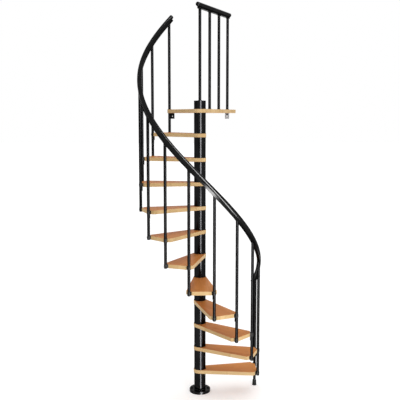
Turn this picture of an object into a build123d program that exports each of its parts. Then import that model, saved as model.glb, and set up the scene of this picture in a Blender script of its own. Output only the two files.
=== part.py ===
from build123d import *
import math
import os

os.makedirs("parts", exist_ok=True)

# The flight: the steps turn clockwise on the way up. Angles are in degrees from +X towards +Y.
tread_count = 11
riser = 235.0
step_angle = 22.862
first_baluster_angle = 14.47
baluster_radius_line = 579.0

# Treads: the outer corners are cut off beside the balusters
tread_thickness = 36.0
tread_end_inset = 1.5
corner_cut_depth = 41.0
corner_cut_inside = 29.75
corner_overhang = 24.75
tread_edge_round = 3.0
boss_ledge = 4.5

# Column
column_diameter = 114.0
spacer_wall = 4.0
pole_diameter = 60.0
pole_wall = 4.0
head_height = 80.0
head_lid = 6.0
head_edge_round = 2.0

# Base flange
base_diameter = 208.0
base_height = 28.0
base_edge_round = 3.0
base_bolt_hole = 12.0
base_bolt_count = 4

# Landing: margins from the last baluster of the flight to the left and back edges
landing_left_margin = 20.8
landing_back_margin = 174.3
landing_rail_angle = 64.7

# Balusters
baluster_diameter = 28.0
baluster_drop = 1.0
landing_baluster_count = 3
landing_end_margin = 55.0

# Holders that join the balusters to the treads; those at a front corner have a tail below
holder_wall = 1.7
holder_width = 30.0
holder_inset = 1.0
holder_edge_round = 1.0
holder_tail_width = 14.0
holder_tail_drop = 40.0

# Handrail: a round rail with a flat below, on a narrower strip
rail_diameter = 42.0
rail_height = 912.0
rail_low_overhang = 82.0
rail_high_overhang = 24.0
strip_width = 28.0
strip_depth = 21.0
cap_length = 26.0
cap_round = 9.0
landing_rail_extra = 69.0
landing_rail_overhang = 30.0

# Levelling foot below the first baluster
foot_diameter = 43.0
foot_top_diameter = 37.0
foot_height = 55.0
foot_round = 5.0
foot_stem_diameter = 17.5
foot_stem_length = 11.0

# Brackets that hang the landing on the floor edge
bracket_width = 44.0
bracket_drop = 60.0
bracket_depth = 55.0
bracket_sheet = 5.0
bracket_hole = 9.0
bracket_hole_drop = 33.0
bracket_left_inset = 44.0

# Play between pieces that pass through one another, and the overrun of a cut
fit_gap = 0.3
cut_overrun = 10.0

# Room that the strip's twist needs over a baluster's flat top
seat_twist_share = 2.0

landing_top = (tread_count + 1) * riser
landing_under = landing_top - tread_thickness
rail_slope = math.atan2(riser, math.radians(step_angle) * baluster_radius_line)
flat_drop = math.sqrt((rail_diameter / 2) ** 2 - (strip_width / 2) ** 2)
strip_under = flat_drop + strip_depth
pole_hole_diameter = pole_diameter + 2 * fit_gap
baluster_hole_diameter = baluster_diameter + 2 * fit_gap
seat_gap = fit_gap + seat_twist_share * (baluster_diameter / 2) ** 2 / baluster_radius_line
boss_diameter = column_diameter + 2 * boss_ledge
base_bolt_circle = (base_diameter + column_diameter) / 2
holder_diameter = baluster_hole_diameter + 2 * holder_wall
landing_rail_height = rail_height + landing_rail_extra
foot_stem_height = foot_height + foot_stem_length


def baluster_angle(number):
    return first_baluster_angle - number * step_angle


def tread_angle(number):
    return baluster_angle(number - 0.5)


def baluster_place(number):
    angle = math.radians(baluster_angle(number))
    return Vector(baluster_radius_line * math.cos(angle), baluster_radius_line * math.sin(angle))


def on_ray(angle, along, across):
    """A plan point: along a ray from the axis, then across it, clockwise."""
    ray = math.radians(angle)
    return Vector(along * math.cos(ray) + across * math.sin(ray),
                  along * math.sin(ray) - across * math.cos(ray))


def upright(place, bottom, top, diameter):
    """A round bar from one height to another."""
    bar = Cylinder(diameter / 2, top - bottom, align=(Align.CENTER, Align.CENTER, Align.MIN))
    return Pos(place.X, place.Y, bottom) * bar


def boss_tangent(point, side):
    """Where the line from a plan point touches the boss, on the side given by the sign."""
    radius = boss_diameter / 2
    far = math.hypot(point.X, point.Y)
    turn = math.atan2(point.Y, point.X) + side * math.acos(radius / far)
    return Vector(radius * math.cos(turn), radius * math.sin(turn))


def board(corners):
    """A wooden board with a round boss at the axis, a pole hole and softened edges."""
    first_touch = boss_tangent(corners[0], 1)
    last_touch = boss_tangent(corners[-1], -1)
    plan = make_face(Polyline(first_touch, *corners, last_touch, close=True))
    plan = plan + Circle(boss_diameter / 2)
    solid = extrude(plan, tread_thickness)
    rims = solid.edges().group_by(Axis.Z)
    solid = fillet(list(rims[0]) + list(rims[-1]), tread_edge_round)
    hole = Cylinder(pole_hole_diameter / 2, tread_thickness + 2 * cut_overrun)
    return solid - Pos(0, 0, tread_thickness / 2) * hole


# Corner points of a tread that lies along +X; its front edge is on the +Y side
half_step = math.radians(step_angle / 2)
baluster_local = Vector(baluster_radius_line * math.cos(half_step),
                        baluster_radius_line * math.sin(half_step))
tread_reach = baluster_local.X - tread_end_inset
tread_end_half = baluster_local.Y - corner_cut_inside
corner_reach = tread_reach - corner_cut_depth
corner_half = baluster_local.Y + corner_overhang
tread_corners = [
    Vector(corner_reach, corner_half),
    Vector(tread_reach, tread_end_half),
    Vector(tread_reach, -tread_end_half),
    Vector(corner_reach, -corner_half),
]
tread_shape = board(tread_corners)
treads = []
for number in range(1, tread_count + 1):
    height = number * riser - tread_thickness
    treads.append(Pos(0, 0, height) * Rot(0, 0, tread_angle(number)) * tread_shape)

# Landing: its front edge runs on in line with a tread's, the back edge lies along the floor edge
last_baluster = baluster_place(tread_count)
landing_left = landing_left_margin - last_baluster.X
landing_back = last_baluster.Y + landing_back_margin
front_guide = on_ray(tread_angle(tread_count + 1), corner_reach, -corner_half)
front_touch = boss_tangent(front_guide, 1)
front_run = (front_guide - front_touch).normalized()
front_left = front_touch + front_run * ((-landing_left - front_touch.X) / front_run.X)
back_left = Vector(-landing_left, landing_back)
right_along = (landing_back + boss_diameter / 2 * math.cos(math.radians(landing_rail_angle))) \
    / math.sin(math.radians(landing_rail_angle))
back_right = on_ray(landing_rail_angle, right_along, boss_diameter / 2)
landing = Pos(0, 0, landing_under) * board([front_left, back_left, back_right])
landing -= upright(last_baluster, landing_under - cut_overrun, landing_top + cut_overrun,
                   baluster_hole_diameter)

# Column: base flange, centre pole, spacer tubes between the treads, and a head with a lid
base_flange = Cylinder(base_diameter / 2, base_height, align=(Align.CENTER, Align.CENTER, Align.MIN))
base_flange = fillet(base_flange.edges().group_by(Axis.Z)[-1], base_edge_round)
for place in PolarLocations(base_bolt_circle / 2, base_bolt_count):
    base_flange -= place * Cylinder(base_bolt_hole / 2, 2 * (base_height + cut_overrun))


def tube(bottom, top, diameter, wall):
    outer = upright(Vector(0, 0), bottom, top, diameter)
    return outer - upright(Vector(0, 0), bottom - cut_overrun, top + cut_overrun, diameter - 2 * wall)


spacers = []
for number in range(tread_count + 1):
    low = number * riser if number else base_height
    spacers.append(tube(low, (number + 1) * riser - tread_thickness, column_diameter, spacer_wall))

head_top = landing_top + head_height
centre_pole = tube(base_height, head_top - head_lid, pole_diameter, pole_wall)
column_head = upright(Vector(0, 0), landing_top, head_top, column_diameter)
column_head = fillet(column_head.edges().group_by(Axis.Z)[-1], head_edge_round)
column_head -= upright(Vector(0, 0), landing_top - cut_overrun, head_top - head_lid,
                       column_diameter - 2 * spacer_wall)


# Handrail
def rail_level(angle):
    """Height of the rail's centre line at an angle round the axis."""
    return riser + rail_height + riser * (first_baluster_angle - angle) / step_angle


def rail_plane(angle):
    """The rail's cross-section plane: X points outwards, Y up, Z along the rail upwards."""
    ray = math.radians(angle)
    outward = Vector(math.cos(ray), math.sin(ray))
    onward = Vector(math.sin(ray), -math.cos(ray)) * math.cos(rail_slope) + Vector(0, 0, math.sin(rail_slope))
    centre = outward * baluster_radius_line + Vector(0, 0, rail_level(angle))
    return Plane(origin=centre, x_dir=outward, z_dir=onward)


def rail_profile():
    below = Rectangle(2 * rail_diameter, rail_diameter, align=(Align.CENTER, Align.MAX))
    return Circle(rail_diameter / 2) - Pos(0, -flat_drop) * below


def strip_profile():
    return Pos(0, -flat_drop) * Rectangle(strip_width, strip_depth, align=(Align.CENTER, Align.MAX))


def end_cap():
    """A round cap with a softened end, standing on the XY plane."""
    cap = Cylinder(rail_diameter / 2, cap_length, align=(Align.CENTER, Align.CENTER, Align.MIN))
    return fillet(cap.edges().group_by(Axis.Z)[-1], cap_round)


run_per_degree = math.radians(1) * baluster_radius_line / math.cos(rail_slope)
low_angle = first_baluster_angle + rail_low_overhang / run_per_degree
high_angle = baluster_angle(tread_count) - rail_high_overhang / run_per_degree
rail_rise = rail_level(high_angle) - rail_level(low_angle)
rail_path = Helix(riser * 360 / step_angle, rail_rise, baluster_radius_line, lefthand=True)
rail_path = Pos(0, 0, rail_level(low_angle)) * Rot(0, 0, low_angle) * rail_path
low_plane = rail_plane(low_angle)
handrail = sweep(low_plane * rail_profile(), path=rail_path, is_frenet=True)
handrail_strip = sweep(low_plane * strip_profile(), path=rail_path, is_frenet=True)

# Level rail along the open side of the landing
rail_ray = math.radians(landing_rail_angle)
landing_onward = Vector(math.cos(rail_ray), math.sin(rail_ray))
landing_across = Vector(math.sin(rail_ray), -math.cos(rail_ray))
landing_rail_level = landing_top + landing_rail_height
last_along = landing_back / math.sin(rail_ray) - landing_end_margin
landing_baluster_pitch = last_along / landing_baluster_count
landing_rail_length = last_along + 2 * landing_rail_overhang
landing_start = landing_onward * -landing_rail_overhang + Vector(0, 0, landing_rail_level)
landing_plane = Plane(origin=landing_start, x_dir=landing_across * -1, z_dir=landing_onward)
landing_rail = extrude(landing_plane * rail_profile(), landing_rail_length, dir=landing_onward)
landing_rail_strip = extrude(landing_plane * strip_profile(), landing_rail_length, dir=landing_onward)

high_plane = rail_plane(high_angle)
landing_end = landing_start + landing_onward * landing_rail_length
handrail_caps = [
    Plane(origin=low_plane.origin, x_dir=low_plane.x_dir, z_dir=low_plane.z_dir * -1) * end_cap(),
    high_plane * end_cap(),
]
landing_rail_caps = [
    Plane(origin=landing_start, x_dir=landing_across, z_dir=landing_onward * -1) * end_cap(),
    Plane(origin=landing_end, x_dir=landing_across, z_dir=landing_onward) * end_cap(),
]

# Balusters: each runs from below one tread, past the next, up to the handrail's strip
balusters = []
for number in range(tread_count + 1):
    place = baluster_place(number)
    bottom = number * riser - tread_thickness - baluster_drop if number else foot_stem_height
    section = rail_plane(baluster_angle(number))
    bar = upright(place, bottom, rail_level(baluster_angle(number)), baluster_diameter)
    seat = Plane(origin=section.origin - section.y_dir * (strip_under + seat_gap), z_dir=section.y_dir)
    balusters.append(split(bar, bisect_by=seat, keep=Keep.BOTTOM))

landing_balusters = []
for number in range(landing_baluster_count + 1):
    place = on_ray(landing_rail_angle, number * landing_baluster_pitch, 0)
    bottom = landing_top if number else head_top
    landing_balusters.append(upright(place, bottom, landing_rail_level - strip_under, baluster_diameter))


# Holders: a collar round the baluster and a block that stands on the tread's chamfered corner
chamfer_run = (tread_corners[0] - tread_corners[1]).normalized()
chamfer_out = Vector(chamfer_run.Y, -chamfer_run.X)
holder_reach = (baluster_local - tread_corners[1]).dot(chamfer_out)
holder_turn = math.degrees(math.atan2(chamfer_out.Y, chamfer_out.X))
holder_height = tread_thickness - 2 * holder_inset


def holder(tail):
    """A holder round the Z axis whose foot lies on the plane X = -holder_reach."""
    collar = Cylinder(holder_diameter / 2, holder_height)
    collar = fillet(collar.edges().filter_by(GeomType.CIRCLE), holder_edge_round)
    inwards = (Align.MAX, Align.CENTER, Align.CENTER)
    solid = collar + Box(holder_reach, holder_width, holder_height, align=inwards)
    if tail:
        below = (Align.MAX, Align.CENTER, Align.MAX)
        hanging = Box(holder_reach, holder_tail_width, holder_tail_drop, align=below)
        solid += Pos(0, 0, -holder_height / 2) * hanging
    bore = Cylinder(baluster_hole_diameter / 2, holder_height + 2 * (holder_tail_drop + cut_overrun))
    return solid - bore


front_holder = holder(True)
rear_holder = holder(False)
holders = []
for number in range(1, tread_count + 1):
    middle = number * riser - tread_thickness / 2
    for side, shape in ((1, front_holder), (-1, rear_holder)):
        corner = Pos(baluster_local.X, side * baluster_local.Y, middle) * Rot(0, 0, side * holder_turn)
        holders.append(Rot(0, 0, tread_angle(number)) * corner * shape)

# Levelling foot: a bell with a stem that carries the first baluster
foot = Cone(foot_diameter / 2, foot_top_diameter / 2, foot_height,
            align=(Align.CENTER, Align.CENTER, Align.MIN))
foot = fillet(foot.edges().group_by(Axis.Z)[-1], foot_round)
foot += upright(Vector(0, 0), foot_height / 2, foot_stem_height, foot_stem_diameter)
levelling_foot = Pos(baluster_place(0).X, baluster_place(0).Y) * foot


# Landing brackets: angles with one leg below the landing and one leg hanging at its back edge
def bracket(middle):
    hanging = Box(bracket_width, bracket_sheet, bracket_drop, align=(Align.CENTER, Align.MAX, Align.MAX))
    lying = Box(bracket_width, bracket_depth, bracket_sheet, align=(Align.CENTER, Align.MAX, Align.MAX))
    drill = Cylinder(bracket_hole / 2, bracket_sheet + 2 * cut_overrun)
    angle = hanging + lying
    angle -= Pos(0, -bracket_sheet / 2, -bracket_hole_drop) * Rot(90, 0, 0) * drill
    return Pos(middle, landing_back, landing_under) * angle


bracket_left = bracket(bracket_left_inset - landing_left)
bracket_right = bracket(on_ray(landing_rail_angle, last_along, 0).X)


def save(shape, name):
    export_step(shape, "parts/" + name + ".step")


save(base_flange, "base_flange")
save(centre_pole, "centre_pole")
save(Compound(spacers), "column_spacers")
save(column_head, "column_head")
for number, solid in enumerate(treads, 1):
    save(solid, f"tread_{number:02d}")
save(landing, "landing")
for number, solid in enumerate(balusters):
    save(solid, f"baluster_{number:02d}")
for number, solid in enumerate(landing_balusters):
    save(solid, f"landing_baluster_{number}")
save(handrail, "handrail")
save(handrail_strip, "handrail_strip")
save(landing_rail, "landing_rail")
save(landing_rail_strip, "landing_rail_strip")
save(Compound(handrail_caps), "handrail_caps")
save(Compound(landing_rail_caps), "landing_rail_caps")
save(Compound(holders), "baluster_holders")
save(levelling_foot, "levelling_foot")
save(bracket_left, "floor_bracket_left")
save(bracket_right, "floor_bracket_right")
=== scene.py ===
# %% [markdown]
# # Dressing a spiral staircase
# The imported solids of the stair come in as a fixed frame, in metres, with the column's axis on Z and the
# floor at z = 0. This lesson adds a camera and light, gives every solid a finish made from nodes, and adds
# the small fittings that make a stair look real: anchor bolts, screws, plugs, collars and saddles. No solid
# is moved or changed.

# %% Load the frame
import math

import bmesh
import bpy
from mathutils import Matrix, Vector


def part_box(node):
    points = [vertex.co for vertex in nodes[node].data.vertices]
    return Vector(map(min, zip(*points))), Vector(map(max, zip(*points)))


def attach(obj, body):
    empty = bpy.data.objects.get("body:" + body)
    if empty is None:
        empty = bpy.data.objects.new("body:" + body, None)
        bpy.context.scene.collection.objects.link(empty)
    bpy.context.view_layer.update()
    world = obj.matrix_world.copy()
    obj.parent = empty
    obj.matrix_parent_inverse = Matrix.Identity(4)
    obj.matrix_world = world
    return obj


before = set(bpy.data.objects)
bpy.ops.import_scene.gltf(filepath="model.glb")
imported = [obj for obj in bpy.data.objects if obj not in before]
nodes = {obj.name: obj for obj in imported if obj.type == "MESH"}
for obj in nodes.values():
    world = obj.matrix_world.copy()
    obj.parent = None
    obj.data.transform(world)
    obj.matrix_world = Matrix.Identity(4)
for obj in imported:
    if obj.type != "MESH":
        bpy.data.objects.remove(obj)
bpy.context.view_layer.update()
scene = bpy.context.scene

# %% [markdown]
# ## Camera
# The picture looks almost level from the height of the landing, so that the landing is seen edge-on and the
# lowest treads from above. A level camera with a large lens shift would draw the uprights exactly parallel.
# A slight tilt with a small shift comes close to that and keeps the object in the frame when the camera
# goes to other sides.

# %% Camera
EYE = Vector((0.001, -6.3, 2.75))
TILT = math.radians(6.12)
camera_data = bpy.data.cameras.new("camera")
camera_data.sensor_width = 36.0
camera_data.lens = 58.5
camera_data.shift_y = -0.035
camera = bpy.data.objects.new("camera", camera_data)
camera.location = EYE
camera.rotation_euler = (math.pi / 2 - TILT, 0.0, 0.0)
scene.collection.objects.link(camera)
scene.camera = camera
scene.view_settings.view_transform = "Standard"
print("camera at", tuple(EYE), "lens", camera_data.lens)

# %% [markdown]
# ## Light
# Catalogue light is soft and comes mostly from the front and the right. A wide lamp does that, and a hazy
# sun straight above lights the treads, so that each colour renders about as it is written. Both would draw
# broad pale patches on gloss paint, so neither shows in reflections. A third lamp, tall and narrow, stands
# close to the stair and draws the long thin highlight of gloss paint on round steel. It is left out of the
# diffuse light, so it bleaches nothing. Seen in the foot of the column, its mirror image lies below the
# floor, so the strip runs on down there. The world gives an even white light from all sides.


# %% Lamps and world
def area_lamp(name, place, target, width, height, watts):
    data = bpy.data.lights.new(name, "AREA")
    data.shape = "RECTANGLE"
    data.size, data.size_y = width, height
    data.energy = watts
    lamp = bpy.data.objects.new(name, data)
    lamp.location = place
    lamp.rotation_euler = (Vector(target) - Vector(place)).to_track_quat("-Z", "Y").to_euler()
    lamp.visible_camera = False
    scene.collection.objects.link(lamp)
    return lamp


key_lamp = area_lamp("key_softbox", place=(1.9, -3.4, 1.3), target=(0, 0, 1.3),
                     width=1.8, height=2.2, watts=70.0)
key_lamp.visible_glossy = False
top_data = bpy.data.lights.new("top_sun", "SUN")
top_data.energy, top_data.angle = 1.6, math.radians(80)
top_lamp = bpy.data.objects.new("top_sun", top_data)
top_lamp.visible_glossy = False
scene.collection.objects.link(top_lamp)
gloss_lamp = area_lamp("gloss_strip", place=(0.50, -1.60, 2.0), target=(0, 0, 2.0),
                       width=0.40, height=8.4, watts=480.0)
gloss_lamp.visible_diffuse = False

LIGHT_STRENGTH = 0.56
BACKGROUND_STRENGTH = 1.0
world = bpy.data.worlds.new("studio")
scene.world = world
world.use_nodes = True
tree = world.node_tree
tree.nodes.clear()
path = tree.nodes.new("ShaderNodeLightPath")
lights_it = tree.nodes.new("ShaderNodeBackground")
lights_it.inputs["Strength"].default_value = LIGHT_STRENGTH
lights_it.inputs["Color"].default_value = (1, 1, 1, 1)
seen = tree.nodes.new("ShaderNodeBackground")
seen.inputs["Strength"].default_value = BACKGROUND_STRENGTH
seen.inputs["Color"].default_value = (1, 1, 1, 1)


def seen_directly(tree, path):
    """1 for rays that see the background itself: from the camera, in gloss, or through glass."""
    total = path.outputs["Is Camera Ray"]
    for name in ("Is Glossy Ray", "Is Transmission Ray"):
        either = tree.nodes.new("ShaderNodeMath")
        either.operation = "MAXIMUM"
        tree.links.new(total, either.inputs[0])
        tree.links.new(path.outputs[name], either.inputs[1])
        total = either.outputs[0]
    return total


mix = tree.nodes.new("ShaderNodeMixShader")
out = tree.nodes.new("ShaderNodeOutputWorld")
tree.links.new(seen_directly(tree, path), mix.inputs[0])
tree.links.new(lights_it.outputs[0], mix.inputs[1])
tree.links.new(seen.outputs[0], mix.inputs[2])
tree.links.new(mix.outputs[0], out.inputs["Surface"])

# %% [markdown]
# ## Floor
# The floor is plain and pale. Its own colour, lit by the lamps, is not quite white to the camera, so a
# little emission is added for the rays that see it directly. Where the stair shades the floor, that sum
# falls below white and the shadow stays. The floor is no obstacle to the narrow lamp.

# %% Floor
FLOOR_HALF = 60.0
FLOOR_LIFT = 0.24
floor_mesh = bpy.data.meshes.new("floor")
bm = bmesh.new()
bmesh.ops.create_grid(bm, x_segments=1, y_segments=1, size=FLOOR_HALF)
bm.to_mesh(floor_mesh)
bm.free()
floor = bpy.data.objects.new("floor", floor_mesh)
scene.collection.objects.link(floor)
floor_finish = bpy.data.materials.new("pale_floor")
floor_finish.use_nodes = True
tree = floor_finish.node_tree
tree.nodes.clear()
matte = tree.nodes.new("ShaderNodeBsdfDiffuse")
matte.inputs["Color"].default_value = (0.84, 0.84, 0.84, 1)
glow = tree.nodes.new("ShaderNodeEmission")
glow.inputs["Color"].default_value = (1, 1, 1, 1)
path = tree.nodes.new("ShaderNodeLightPath")
lift = tree.nodes.new("ShaderNodeMath")
lift.operation = "MULTIPLY"
lift.inputs[1].default_value = FLOOR_LIFT
tree.links.new(seen_directly(tree, path), lift.inputs[0])
tree.links.new(lift.outputs[0], glow.inputs["Strength"])
both = tree.nodes.new("ShaderNodeAddShader")
out = tree.nodes.new("ShaderNodeOutputMaterial")
tree.links.new(matte.outputs[0], both.inputs[0])
tree.links.new(glow.outputs[0], both.inputs[1])
tree.links.new(both.outputs[0], out.inputs["Surface"])
floor.data.materials.append(floor_finish)
lets_through = bpy.data.collections.new("lets_the_strip_through")
lets_through.objects.link(floor)
lets_through.collection_objects[0].light_linking.link_state = "EXCLUDE"
gloss_lamp.light_linking.blocker_collection = lets_through
print("floor half width", FLOOR_HALF)

# %% [markdown]
# ## Shader helpers
# Node trees read better when each node is one line. `node` makes a node, fills its inputs by name and links
# any input that is given as a socket. `calc` does the same for a Math node and hands back its result.


# %% Node helpers
def node(tree, kind, inputs=None, **settings):
    made = tree.nodes.new(kind)
    for name, value in settings.items():
        setattr(made, name, value)
    for name, value in (inputs or {}).items():
        if isinstance(value, bpy.types.NodeSocket):
            tree.links.new(value, made.inputs[name])
        else:
            made.inputs[name].default_value = value
    return made


def calc(tree, operation, *values):
    return node(tree, "ShaderNodeMath", dict(enumerate(values)), operation=operation).outputs[0]


def between(tree, value, low, high, to_low=0.0, to_high=1.0):
    """Maps a value from one range to another, softly and clamped."""
    inputs = {"Value": value, "From Min": low, "From Max": high, "To Min": to_low, "To Max": to_high}
    return node(tree, "ShaderNodeMapRange", inputs, interpolation_type="SMOOTHSTEP").outputs["Result"]


def mixed(tree, factor, first, second):
    """A blend of two colours."""
    made = node(tree, "ShaderNodeMix", data_type="RGBA", clamp_factor=True)
    for index, value in ((0, factor), (6, first), (7, second)):
        if isinstance(value, bpy.types.NodeSocket):
            tree.links.new(value, made.inputs[index])
        else:
            made.inputs[index].default_value = value
    return made.outputs[2]


def vector_of(tree, x, y, z):
    return node(tree, "ShaderNodeCombineXYZ", {"X": x, "Y": y, "Z": z}).outputs[0]


def new_group(name, inputs, outputs):
    """A node group with float or vector sockets, and its input and output nodes."""
    group = bpy.data.node_groups.new(name, "ShaderNodeTree")
    for label, kind, default in inputs:
        socket = group.interface.new_socket(label, in_out="INPUT", socket_type=kind)
        if default is not None:
            socket.default_value = default
    for label in outputs:
        group.interface.new_socket(label, in_out="OUTPUT", socket_type="NodeSocketFloat")
    return group, group.nodes.new("NodeGroupInput"), group.nodes.new("NodeGroupOutput")


print("helpers ready")

# %% [markdown]
# ## Beech, glued up from staves
# Stair treads are not one plank. They are glued from staves a few centimetres wide, so the tone steps a
# little from stave to stave, and each stave has its own streaks. Beech also carries short brown flecks
# along the grain. The group below works in a board's own metres, with X along the grain, and puts out masks
# only, so the colours stay in the material. The noises are drawn out: each has its waves per metre along
# the grain, and many more across it.

# %% Group: beech staves
STAVE_WIDTH = 0.044
STAVE_LENGTH = 0.46
SEAM_HALF = 0.0003
BROAD_WAVES = (1.6, 34.0)
FINE_WAVES = (7.0, 320.0)
FLECK_WAVES = (90.0, 900.0)
staves, given, result = new_group(
    "beech_staves",
    [("Vector", "NodeSocketVector", None)],
    ["Tone", "Streak", "Fleck", "Seam", "Height"])
xyz = node(staves, "ShaderNodeSeparateXYZ", {0: given.outputs["Vector"]})
across = calc(staves, "DIVIDE", xyz.outputs["Y"], STAVE_WIDTH)
row = calc(staves, "FLOOR", across)
row_chance = node(staves, "ShaderNodeTexWhiteNoise", {"W": row}, noise_dimensions="1D").outputs["Value"]
along = calc(staves, "ADD", calc(staves, "DIVIDE", xyz.outputs["X"], STAVE_LENGTH), row_chance)
place = calc(staves, "FLOOR", along)
tone = node(staves, "ShaderNodeTexWhiteNoise", {"Vector": vector_of(staves, row, place, 0.0)},
            noise_dimensions="2D").outputs["Value"]
own_shift = calc(staves, "MULTIPLY", tone, 17.0)


def stretched(waves):
    """The board's coordinates, drawn out along the grain and shifted for each stave."""
    with_grain, across_grain = waves
    x = calc(staves, "MULTIPLY_ADD", xyz.outputs["X"], with_grain, own_shift)
    y = calc(staves, "MULTIPLY_ADD", xyz.outputs["Y"], across_grain, own_shift)
    return vector_of(staves, x, y, calc(staves, "MULTIPLY", xyz.outputs["Z"], across_grain))


broad = node(staves, "ShaderNodeTexNoise", {"Vector": stretched(BROAD_WAVES), "Scale": 1.0,
             "Detail": 3.0, "Roughness": 0.55, "Distortion": 0.4}).outputs["Fac"]
fine = node(staves, "ShaderNodeTexNoise", {"Vector": stretched(FINE_WAVES), "Scale": 1.0,
            "Detail": 2.0, "Roughness": 0.6}).outputs["Fac"]
streak = calc(staves, "ADD", calc(staves, "MULTIPLY", broad, 0.65), calc(staves, "MULTIPLY", fine, 0.35))
dashes = node(staves, "ShaderNodeTexNoise", {"Vector": stretched(FLECK_WAVES), "Scale": 1.0,
              "Detail": 1.0}).outputs["Fac"]
fleck = between(staves, dashes, 0.63, 0.72)


def seam_of(position, size):
    """1 on a glue line: within half a line of a stave's edge."""
    middle = calc(staves, "ABSOLUTE", calc(staves, "SUBTRACT", calc(staves, "FRACT", position), 0.5))
    edge = calc(staves, "MULTIPLY", calc(staves, "SUBTRACT", 0.5, middle), size)
    return between(staves, edge, SEAM_HALF, 2 * SEAM_HALF, 1.0, 0.0)


seam = calc(staves, "MAXIMUM", seam_of(across, STAVE_WIDTH), seam_of(along, STAVE_LENGTH))
pores = calc(staves, "ADD", calc(staves, "MULTIPLY", fleck, 0.5), seam)
height = calc(staves, "SUBTRACT", calc(staves, "MULTIPLY", fine, 0.5), pores)
stave_masks = {"Tone": tone, "Streak": streak, "Fleck": fleck, "Seam": seam, "Height": height}
for label, value in stave_masks.items():
    staves.links.new(value, result.inputs[label])
print("group", staves.name, "staves of", STAVE_WIDTH, "m")

# %% [markdown]
# ## Which way a face looks
# The edges of the boards are paler than their faces, partly by the wood's own colour and partly by painted
# light from the front, and the rounded arris between them is palest, which is a painted highlight. Both
# follow from the upward part of the surface's own normal, so one small group serves the boards and the dust
# on the black steel alike.

# %% Group: face and arris masks
facing, given, result = new_group(
    "face_masks", [("Normal", "NodeSocketVector", None)], ["Side", "Arris", "Up"])
lean = node(facing, "ShaderNodeSeparateXYZ", {0: given.outputs["Normal"]}).outputs["Z"]
steep = calc(facing, "ABSOLUTE", lean)
side = between(facing, steep, 0.55, 0.95, 1.0, 0.0)
rising = between(facing, steep, 0.15, 0.5)
falling = between(facing, steep, 0.8, 0.98, 1.0, 0.0)
facing.links.new(side, result.inputs["Side"])
facing.links.new(calc(facing, "MULTIPLY", rising, falling), result.inputs["Arris"])
facing.links.new(between(facing, lean, 0.4, 0.9), result.inputs["Up"])
print("group", facing.name)

# %% [markdown]
# ## The boards' material
# Every tread lies at its own angle, and grain runs along a tread. The meshes stay where they are, so each
# tread gets the same material with its own Mapping node, which turns the stair's coordinates into that
# board's. The material also takes a small step towards its light or dark colour. Boards 1, 2 and 5 step
# lighter and board 7 darker, to even out how much light the lamps give them: that step is painted light.

# %% Material: beech
# The edge colours are paler than the face colours, partly by the wood's own colour and partly by painted
# light from the front.
FACE_DARK = (0.455, 0.162, 0.036, 1)
FACE_LIGHT = (0.610, 0.249, 0.069, 1)
EDGE_DARK = (0.520, 0.335, 0.146, 1)
EDGE_LIGHT = (0.695, 0.500, 0.262, 1)
FLECK_BROWN = (0.30, 0.115, 0.045, 1)
GLUE_BROWN = (0.34, 0.14, 0.055, 1)
ARRIS_PAINTED_HIGHLIGHT = (0.72, 0.50, 0.30, 1)


def beech(name, turn, shift, tone=0.0):
    finish = bpy.data.materials.new(name)
    finish.use_nodes = True
    tree = finish.node_tree
    shader = tree.nodes["Principled BSDF"]
    where = node(tree, "ShaderNodeTexCoord")
    board = node(tree, "ShaderNodeMapping", {"Vector": where.outputs["Object"], "Location": shift,
                 "Rotation": (0, 0, -turn)})
    grain = node(tree, "ShaderNodeGroup", node_tree=staves)
    tree.links.new(board.outputs[0], grain.inputs["Vector"])
    masks = node(tree, "ShaderNodeGroup", node_tree=facing)
    tree.links.new(where.outputs["Normal"], masks.inputs["Normal"])
    # The tone argument is the board's painted light step.
    depth = calc(tree, "ADD", calc(tree, "MULTIPLY", grain.outputs["Streak"], 0.9),
                 calc(tree, "MULTIPLY_ADD", grain.outputs["Tone"], 0.5, tone - 0.2))
    face = mixed(tree, depth, FACE_DARK, FACE_LIGHT)
    face = mixed(tree, calc(tree, "MULTIPLY", grain.outputs["Fleck"], 0.35), face, FLECK_BROWN)
    edge = mixed(tree, depth, EDGE_DARK, EDGE_LIGHT)
    edge = mixed(tree, calc(tree, "MULTIPLY", grain.outputs["Fleck"], 0.15), edge, FLECK_BROWN)
    # Side faces take the edge colours: partly the wood's own colour, partly painted light from the front.
    colour = mixed(tree, masks.outputs["Side"], face, edge)
    colour = mixed(tree, calc(tree, "MULTIPLY", grain.outputs["Seam"], 0.3), colour, GLUE_BROWN)
    # The rounded arris is made palest: a painted highlight.
    colour = mixed(tree, calc(tree, "MULTIPLY", masks.outputs["Arris"], 0.35), colour, ARRIS_PAINTED_HIGHLIGHT)
    tree.links.new(colour, shader.inputs["Base Color"])
    tree.links.new(between(tree, grain.outputs["Streak"], 0.3, 0.7, 0.48, 0.38), shader.inputs["Roughness"])
    bump = node(tree, "ShaderNodeBump", {"Height": grain.outputs["Height"], "Strength": 0.25,
                "Distance": 0.0003})
    tree.links.new(bump.outputs[0], shader.inputs["Normal"])
    shader.inputs["Specular IOR Level"].default_value = 0.05
    return finish


print("beech made per board")

# %% [markdown]
# ## Black steel, black plastic, a grey plate and rubber
# Powder coat has a faint orange-peel skin, moulded plastic a finer and flatter grain, rubber is matt. One
# group gives all of them a mottle for colour and roughness and a height for bump. The values differ from
# finish to finish. A clear varnish over black would show a white rim on every round bar in this bright
# room. A metallic shader with a very dark colour reflects about one part in a hundred, and its edge tint
# keeps the rims dark too, so the glossy blacks use that.

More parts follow.
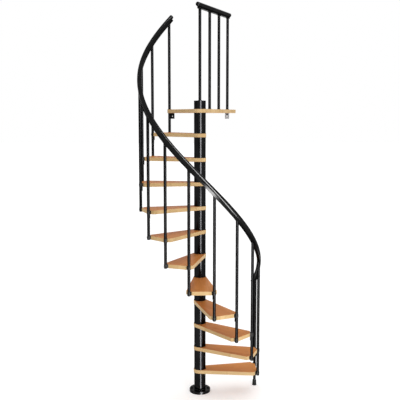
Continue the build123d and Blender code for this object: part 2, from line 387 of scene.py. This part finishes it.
# %% Group: skin
skin, given, result = new_group(
    "coat_skin",
    [("Vector", "NodeSocketVector", None), ("Grain", "NodeSocketFloat", 700.0),
     ("Cloud", "NodeSocketFloat", 9.0)],
    ["Mottle", "Height"])
cloud = node(skin, "ShaderNodeTexNoise", {"Vector": given.outputs["Vector"], "Scale": given.outputs["Cloud"],
             "Detail": 4.0, "Roughness": 0.6}).outputs["Fac"]
peel = node(skin, "ShaderNodeTexNoise", {"Vector": given.outputs["Vector"], "Scale": given.outputs["Grain"],
            "Detail": 2.0, "Roughness": 0.5}).outputs["Fac"]
skin.links.new(cloud, result.inputs["Mottle"])
skin.links.new(peel, result.inputs["Height"])
print("group", skin.name)


# %% Black and grey finishes
def coated(name, dark, light, rough, gloss, grain, bump_strength, dust=0.0):
    """A finish with a mottled colour, an uneven roughness and a skin. Rough is the low and high roughness."""
    finish = bpy.data.materials.new(name)
    finish.use_nodes = True
    tree = finish.node_tree
    shader = tree.nodes["Principled BSDF"]
    where = node(tree, "ShaderNodeTexCoord")
    cover = node(tree, "ShaderNodeGroup", node_tree=skin)
    tree.links.new(where.outputs["Object"], cover.inputs["Vector"])
    cover.inputs["Grain"].default_value = grain
    masks = node(tree, "ShaderNodeGroup", node_tree=facing)
    tree.links.new(where.outputs["Normal"], masks.inputs["Normal"])
    mottle = between(tree, cover.outputs["Mottle"], 0.3, 0.7)
    colour = mixed(tree, mottle, (*dark, 1), (*light, 1))
    settled = calc(tree, "MULTIPLY", calc(tree, "MULTIPLY", masks.outputs["Up"], mottle), dust)
    colour = mixed(tree, settled, colour, (0.30, 0.28, 0.26, 1))
    tree.links.new(colour, shader.inputs["Base Color"])
    tree.links.new(between(tree, cover.outputs["Mottle"], 0.3, 0.7, *rough), shader.inputs["Roughness"])
    bump = node(tree, "ShaderNodeBump", {"Height": cover.outputs["Height"], "Strength": bump_strength,
                "Distance": 0.0002})
    tree.links.new(bump.outputs[0], shader.inputs["Normal"])
    shader.inputs["Specular IOR Level"].default_value = gloss
    return finish


def steel_look(finish, edge_tint):
    """Makes a finish metallic. The tint holds back the glare at the rim of a round bar."""
    shader = finish.node_tree.nodes["Principled BSDF"]
    shader.inputs["Metallic"].default_value = 1.0
    shader.inputs["Specular Tint"].default_value = (edge_tint, edge_tint, edge_tint, 1)
    return finish


black_steel = coated("black_powder_coat", (0.009, 0.009, 0.0095), (0.013, 0.013, 0.0135),
                     rough=(0.17, 0.22), gloss=0.5, grain=700.0, bump_strength=0.02, dust=0.02)
steel_look(black_steel, edge_tint=0.45)
flange_steel = coated("black_flange_coat", (0.010, 0.010, 0.0105), (0.014, 0.014, 0.0145),
                      rough=(0.20, 0.26), gloss=0.5, grain=700.0, bump_strength=0.02, dust=0.02)
steel_look(flange_steel, edge_tint=0.64)
bar_steel = coated("black_bar_coat", (0.004, 0.004, 0.0042), (0.0062, 0.0062, 0.0064),
                   rough=(0.40, 0.46), gloss=0.5, grain=900.0, bump_strength=0.02)
steel_look(bar_steel, edge_tint=0.25)
rail_black = coated("black_rail_plastic", (0.012, 0.012, 0.012), (0.016, 0.016, 0.016),
                    rough=(0.16, 0.21), gloss=0.5, grain=1500.0, bump_strength=0.02)
steel_look(rail_black, edge_tint=0.52)
strip_black = coated("black_rail_strip", (0.010, 0.010, 0.010), (0.014, 0.014, 0.014),
                     rough=(0.17, 0.22), gloss=0.5, grain=1100.0, bump_strength=0.02)
steel_look(strip_black, edge_tint=0.45)
holder_black = coated("black_moulded_plastic", (0.006, 0.006, 0.006), (0.011, 0.011, 0.011),
                      rough=(0.42, 0.52), gloss=0.08, grain=1800.0, bump_strength=0.1, dust=0.03)
# The right bracket is the same as the left one; its grey plate stands in for the light a glossy black plate
# reflects, a painted reflection.
grey_bracket_painted_glint = coated("grey_plate_painted_glint", (0.36, 0.365, 0.375), (0.50, 0.505, 0.515),
              rough=(0.30, 0.45), gloss=0.5, grain=260.0, bump_strength=0.15)
steel_look(grey_bracket_painted_glint, edge_tint=0.6)
rubber = coated("matt_rubber", (0.006, 0.006, 0.006), (0.010, 0.010, 0.010),
                rough=(0.6, 0.72), gloss=0.06, grain=1300.0, bump_strength=0.3)
print("finishes", len(bpy.data.materials))

# %% [markdown]
# ## Where the boards and bars are
# The solids themselves say where things are. Each baluster stands upright, so the middle of its box is its
# place. A tread's grain points from the axis halfway between its two balusters.

# %% Places
TREADS = 11
bar_box = [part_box(f"baluster_{n:02d}") for n in range(TREADS + 1)]
bar_place = [(low + high) / 2 for low, high in bar_box]
tread_box = {n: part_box(f"tread_{n:02d}") for n in range(1, TREADS + 1)}
tread_turn = {}
for n in range(1, TREADS + 1):
    middle = bar_place[n - 1] + bar_place[n]
    tread_turn[n] = math.atan2(middle.y, middle.x)
landing_low, landing_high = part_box("landing")
BAR_RADIUS = (bar_box[1][1].x - bar_box[1][0].x) / 2
print("tread turns", [round(math.degrees(t), 1) for t in tread_turn.values()])


# %% Finishes for the solids
def dress(name, finish):
    solid = nodes[name]
    if not solid.material_slots:
        solid.data.materials.append(finish)
    for slot in solid.material_slots:
        slot.material = finish


# Painted light: boards 1, 2 and 5 lighter and board 7 darker, to even out the lamps' light on them.
BOARD_PAINTED_LIGHT_STEP = {1: 0.22, 2: 0.08, 5: 0.15, 7: -0.06}
for n, turn in tread_turn.items():
    cut_from = (0.31 * n, 0.013 * n, 0.07 * n)
    dress(f"tread_{n:02d}", beech(f"beech_tread_{n:02d}", turn, cut_from, BOARD_PAINTED_LIGHT_STEP.get(n, 0.0)))
dress("landing", beech("beech_landing", math.radians(90), (0.17, 0.02, 0.9)))
for name in nodes:
    if name.startswith(("column", "centre")):
        dress(name, black_steel)
    if name.startswith(("baluster_0", "baluster_1", "landing_baluster")):
        dress(name, bar_steel)
for name, finish in (("base_flange", flange_steel), ("handrail", rail_black), ("landing_rail", rail_black),
                     ("handrail_caps", rail_black), ("landing_rail_caps", rail_black),
                     ("handrail_strip", strip_black), ("landing_rail_strip", strip_black),
                     ("baluster_holders", holder_black), ("levelling_foot", rubber),
                     ("floor_bracket_left", black_steel), ("floor_bracket_right", grey_bracket_painted_glint)):
    dress(name, finish)
print("dressed", len(nodes))

# %% [markdown]
# ## Small fittings
# Most fittings on a stair are turned parts: washers, screw heads, plugs and collars. A turned part is a
# profile spun round an axis, so one helper takes a closed profile of radius and height and spins it. Poles
# on the axis are merged and the normals made to point outwards. A second helper copies such a part to each
# of its places.


# %% Helpers for fittings
def turned(profile, steps=24):
    """A bmesh spun from a closed profile of (radius, height) points."""
    bm = bmesh.new()
    points = [bm.verts.new((radius, 0.0, height)) for radius, height in profile]
    edges = [bm.edges.new((a, b)) for a, b in zip(points, points[1:] + points[:1])]
    bmesh.ops.spin(bm, geom=points + edges, cent=(0, 0, 0), axis=(0, 0, 1), angle=2 * math.pi, steps=steps,
                   use_merge=True)
    bmesh.ops.remove_doubles(bm, verts=bm.verts, dist=1e-6)
    bmesh.ops.dissolve_degenerate(bm, edges=bm.edges, dist=1e-7)
    bmesh.ops.recalc_face_normals(bm, faces=bm.faces)
    return bm


def aimed(place, direction):
    """A matrix that sets a part's Z axis along a direction at a place."""
    return Matrix.Translation(place) @ Vector(direction).to_track_quat("Z", "Y").to_matrix().to_4x4()


def piece(name, copies, finish, smooth_angle=35.0):
    """One object from a list of (bmesh, matrices). Each bmesh is copied to all its matrices."""
    whole = bmesh.new()
    for part, matrices in copies:
        shape = bpy.data.meshes.new("part")
        part.to_mesh(shape)
        for matrix in matrices:
            placed = shape.copy()
            placed.transform(matrix)
            whole.from_mesh(placed)
            bpy.data.meshes.remove(placed)
        bpy.data.meshes.remove(shape)
    for face in whole.faces:
        face.smooth = True
    for edge in whole.edges:
        edge.smooth = edge.is_manifold and edge.calc_face_angle(math.pi) < math.radians(smooth_angle)
    mesh = bpy.data.meshes.new(name)
    whole.to_mesh(mesh)
    whole.free()
    mesh.materials.append(finish)
    made = bpy.data.objects.new(name, mesh)
    scene.collection.objects.link(made)
    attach(made, "root")
    print(name, "faces", len(mesh.polygons))
    return made


# %% [markdown]
# ## Anchor bolts on the flange
# Four hexagon bolts with washers hold the flange to the floor. The head starts as a cone with six sides and
# equal radii, which is a prism, and a bevel breaks its top edges.

# %% Anchor bolts
base_low, base_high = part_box("base_flange")
column_low, column_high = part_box("column_spacers")
BOLT_RING = (base_high.x + column_high.x) / 2
HEX_RADIUS = 0.0092
HEX_HEIGHT = 0.0064
HEX_CHAMFER = 0.0009
HEAD_TWIST = 0.3
WASHER = 0.002
WASHER_HOLE = 0.0056
WASHER_RADIUS = 0.0105
WASHER_CHAMFER = 0.0005


def hex_head(radius, height, chamfer):
    bm = bmesh.new()
    bmesh.ops.create_cone(bm, segments=6, radius1=radius, radius2=radius, depth=height, cap_ends=True)
    bmesh.ops.translate(bm, verts=bm.verts, vec=(0, 0, height / 2))
    rim = [e for e in bm.edges if all(v.co.z > height * 0.9 for v in e.verts)]
    bmesh.ops.bevel(bm, geom=rim, offset=chamfer, segments=2, profile=0.5, affect="EDGES", material=-1)
    return bm


washer = turned([(WASHER_HOLE, 0.0), (WASHER_RADIUS, 0.0), (WASHER_RADIUS, WASHER * 0.7),
                 (WASHER_RADIUS - WASHER_CHAMFER, WASHER), (WASHER_HOLE, WASHER)])
bolt_places = [Matrix.Rotation(math.radians(90 * n), 4, "Z") @ Matrix.Translation((BOLT_RING, 0, base_high.z))
               for n in range(4)]
head_places = [m @ Matrix.Translation((0, 0, WASHER)) @ Matrix.Rotation(HEAD_TWIST * n, 4, "Z")
               for n, m in enumerate(bolt_places)]
piece("anchor_bolts", [(washer, bolt_places), (hex_head(HEX_RADIUS, HEX_HEIGHT, HEX_CHAMFER), head_places)],
      black_steel)

# %% [markdown]
# ## Sealing rings on the column
# Where a tube meets a board, a thin ring closes the joint. One profile serves all of them: it stands on top
# of each board, and turned over it hangs below the next.

# %% Sealing rings
TUBE_RADIUS = column_high.x
RING_RADIUS = TUBE_RADIUS + 0.0030
RING_HEIGHT = 0.0028
RING_CHAMFER = 0.0010
ring = turned([(TUBE_RADIUS, 0.0), (RING_RADIUS, 0.0), (RING_RADIUS, RING_HEIGHT - RING_CHAMFER),
               (RING_RADIUS - RING_CHAMFER, RING_HEIGHT), (TUBE_RADIUS, RING_HEIGHT)], steps=64)
boards = [*tread_box.values(), (landing_low, landing_high)]
standing = [Matrix.Translation((0, 0, base_high.z))]
standing += [Matrix.Translation((0, 0, high.z)) for low, high in boards]
hanging = [Matrix.Translation((0, 0, low.z)) @ Matrix.Rotation(math.pi, 4, "X") for low, high in boards]
piece("sealing_rings", [(ring, standing + hanging)], holder_black)

# %% [markdown]
# ## Screws in the holders
# A socket screw clamps each collar to its baluster. It points away from the tread's cut corner, which lies
# at a fixed angle either side of the tread's middle line.

# %% Holder screws
CORNER_TURN = math.radians(36.96)
COLLAR_RADIUS = BAR_RADIUS + 0.0020
SCREW_SINK = 0.0002
button = turned([(0.0, 0.0), (0.0042, 0.0), (0.0042, 0.0006), (0.0036, 0.0019), (0.0023, 0.0026),
                 (0.0017, 0.0026), (0.0016, 0.0010), (0.0, 0.0010)], steps=18)
screw_places = []
for n, (low, high) in tread_box.items():
    for bar, side in ((bar_place[n - 1], 1), (bar_place[n], -1)):
        turn = tread_turn[n] + side * CORNER_TURN
        outward = Vector((math.cos(turn), math.sin(turn), 0))
        spot = Vector((bar.x, bar.y, (low.z + high.z) / 2)) + outward * (COLLAR_RADIUS - SCREW_SINK)
        screw_places.append(aimed(spot, outward))
piece("holder_screws", [(button, screw_places)], black_steel)

# %% [markdown]
# ## Plugs below the balusters
# The balusters are tubes, so each lower end is closed by a domed plug with a thin lip.

# %% Baluster plugs
LIP_RADIUS = BAR_RADIUS + 0.0006
plug = turned([(0.0, 0.0005), (BAR_RADIUS - 0.0008, 0.0005), (BAR_RADIUS, 0.0), (LIP_RADIUS, -0.0004),
               (LIP_RADIUS, -0.0014), (BAR_RADIUS - 0.0012, -0.0030), (0.0070, -0.0048), (0.0, -0.0056)])
plug_places = [Matrix.Translation((p.x, p.y, low.z)) for p, (low, high) in zip(bar_place[1:], bar_box[1:])]
piece("baluster_plugs", [(plug, plug_places)], holder_black)

# %% [markdown]
# ## Collars at the landing
# The bars of the landing's rail stand in small collars on the board, and the first one on the column's lid.

# %% Landing collars
collar = turned([(BAR_RADIUS + 0.0001, 0.0), (BAR_RADIUS + 0.0058, 0.0), (BAR_RADIUS + 0.0058, 0.0018),
                 (BAR_RADIUS + 0.0046, 0.0040), (BAR_RADIUS + 0.0014, 0.0062), (BAR_RADIUS + 0.0001, 0.0066)],
                steps=32)
rail_bar_box = [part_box(f"landing_baluster_{n}") for n in range(4)]
rail_bar_place = [(low + high) / 2 for low, high in rail_bar_box]
collar_places = [Matrix.Translation((p.x, p.y, low.z))
                 for p, (low, high) in zip(rail_bar_place, rail_bar_box)]
last_bar = bar_place[TREADS]
collar_places.append(Matrix.Translation((last_bar.x, last_bar.y, landing_high.z)))
piece("landing_collars", [(collar, collar_places)], holder_black)

# %% [markdown]
# ## Saddles under the handrail
# Each baluster is joined to the strip below the rail by a flat saddle with two screws. The saddle lies
# along the rail, so on the flight it leans with the rail's slope.

# %% Saddles
RISER = tread_box[2][1].z - tread_box[1][1].z
RAIL_RADIUS = math.hypot(bar_place[0].x, bar_place[0].y)
STEP = abs(math.atan2(bar_place[1].y, bar_place[1].x) - math.atan2(bar_place[0].y, bar_place[0].x))
SLOPE = math.atan2(RISER, STEP * RAIL_RADIUS)
SADDLE = Vector((2 * BAR_RADIUS + 0.025, 0.026, 0.0024))
SADDLE_CORNER = 0.006
SADDLE_ARRIS = 0.0005
SADDLE_SCREW_AT = BAR_RADIUS + 0.0055
SEAT_GAP = 0.0005
saddle = bmesh.new()
bmesh.ops.create_cube(saddle, size=1.0)
bmesh.ops.scale(saddle, verts=saddle.verts, vec=SADDLE)
uprights = [e for e in saddle.edges if abs(e.verts[0].co.z - e.verts[1].co.z) > SADDLE.z / 2]
bmesh.ops.bevel(saddle, geom=uprights, offset=SADDLE_CORNER, segments=4, profile=0.5, affect="EDGES",
                material=-1)
under = [e for e in saddle.edges if all(v.co.z < 0 for v in e.verts)]
bmesh.ops.bevel(saddle, geom=under, offset=SADDLE_ARRIS, segments=1, profile=0.5, affect="EDGES", material=-1)
saddle_places = []
for place, (low, high) in zip(bar_place, bar_box):
    outward = Vector((place.x, place.y, 0)).normalized()
    onward = Vector((outward.y, -outward.x, 0)) * math.cos(SLOPE) + Vector((0, 0, math.sin(SLOPE)))
    upward = onward.cross(outward) * -1
    seat = Vector((place.x, place.y, high.z - BAR_RADIUS * math.tan(SLOPE))) - upward * SEAT_GAP
    turn = Matrix((onward, upward.cross(onward), upward)).transposed().to_4x4()
    saddle_places.append(Matrix.Translation(seat) @ turn)
for place, (low, high) in zip(rail_bar_place, rail_bar_box):
    run = Vector((rail_bar_place[3].x, rail_bar_place[3].y, 0)).normalized()
    turn = Matrix((run, Vector((-run.y, run.x, 0)), Vector((0, 0, 1)))).transposed().to_4x4()
    saddle_places.append(Matrix.Translation((place.x, place.y, high.z - SADDLE.z / 2)) @ turn)
flip = Matrix.Rotation(math.pi, 4, "X")
saddle_screws = [m @ Matrix.Translation((x, 0, -SADDLE.z / 2)) @ flip for m in saddle_places
                 for x in (-SADDLE_SCREW_AT, SADDLE_SCREW_AT)]
piece("rail_saddles", [(saddle, saddle_places), (button, saddle_screws)], strip_black)

# %% [markdown]
# ## Lock nut on the foot
# The foot is set to height on its stem and held by a lock nut. The nut is a prism with a hole: two rings of
# vertices, the outer one pulled out to a hexagon, are bridged and then pushed up.

# %% Lock nut
foot_low, foot_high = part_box("levelling_foot")
STEM_RADIUS = 0.00875
NUT_FLAT = 0.0125
NUT_HEIGHT = 0.0075
NUT_BELOW_TOP = 0.0110
nut = bmesh.new()
hole = bmesh.ops.create_circle(nut, segments=24, radius=STEM_RADIUS)["verts"]
rim = bmesh.ops.create_circle(nut, segments=24, radius=NUT_FLAT)["verts"]
for v in rim:
    turn = math.atan2(v.co.y, v.co.x)
    v.co.xy *= 1 / math.cos((turn % (math.pi / 3)) - math.pi / 6)
bmesh.ops.bridge_loops(nut, edges=nut.edges[:])
lifted = bmesh.ops.extrude_face_region(nut, geom=nut.faces[:])["geom"]
nut_top = [g for g in lifted if isinstance(g, bmesh.types.BMVert)]
bmesh.ops.translate(nut, verts=nut_top, vec=(0, 0, NUT_HEIGHT))
bmesh.ops.recalc_face_normals(nut, faces=nut.faces)
foot_middle = (foot_low + foot_high) / 2
nut_place = Matrix.Translation((foot_middle.x, foot_middle.y, foot_high.z - NUT_BELOW_TOP))
piece("foot_lock_nut", [(nut, [nut_place])], black_steel, smooth_angle=20.0)

# %% [markdown]
# ## Nuts under the brackets
# Each bracket hangs from the landing on a stud that comes down through the board. Below the bracket's sheet
# there is a washer, then a nut, made from the bolt heads' prism, and the end of the stud as a turned pin
# with a broken edge.

# %% Bracket nuts
BRACKET_SHEET = 0.0050
STUD_RADIUS = 0.0060
STUD_LENGTH = 0.0040
STUD_CHAMFER = 0.0008
STUD_ROOT = -0.0005
BRACKET_NUT_RADIUS = 0.0108
BRACKET_NUT_HEIGHT = 0.0088
BRACKET_NUT_CHAMFER = 0.0010
stud_end = turned([(0.0, STUD_ROOT), (STUD_RADIUS, STUD_ROOT), (STUD_RADIUS, STUD_LENGTH - STUD_CHAMFER),
                   (STUD_RADIUS - STUD_CHAMFER, STUD_LENGTH), (0.0, STUD_LENGTH)])
bracket_nut = hex_head(BRACKET_NUT_RADIUS, BRACKET_NUT_HEIGHT, BRACKET_NUT_CHAMFER)
for name in ("floor_bracket_left", "floor_bracket_right"):
    low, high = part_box(name)
    on_sheet = aimed(Vector(((low.x + high.x) / 2, (low.y + high.y) / 2, high.z - BRACKET_SHEET)), (0, 0, -1))
    on_washer = on_sheet @ Matrix.Translation((0, 0, WASHER))
    on_nut = on_washer @ Matrix.Translation((0, 0, BRACKET_NUT_HEIGHT))
    piece(name + "_nut", [(washer, [on_sheet]), (bracket_nut, [on_washer]), (stud_end, [on_nut])],
          black_steel)

# %% [markdown]
# ## Boards, the grey bracket and the narrow lamp
# The narrow lamp is there for the black pieces alone. The right bracket's flat grey plate, a painted
# reflection, would mirror it as a white patch, and seen from behind, the lacquer on the boards would too. So
# light linking leaves the boards and that bracket out of that lamp.

# %% Receivers of the narrow lamp
no_glint = bpy.data.collections.new("no_glint")
for name in ("landing", "floor_bracket_right", *[f"tread_{n:02d}" for n in tread_box]):
    no_glint.objects.link(nodes[name])
for member in no_glint.collection_objects:
    member.light_linking.link_state = "EXCLUDE"
gloss_lamp.light_linking.receiver_collection = no_glint
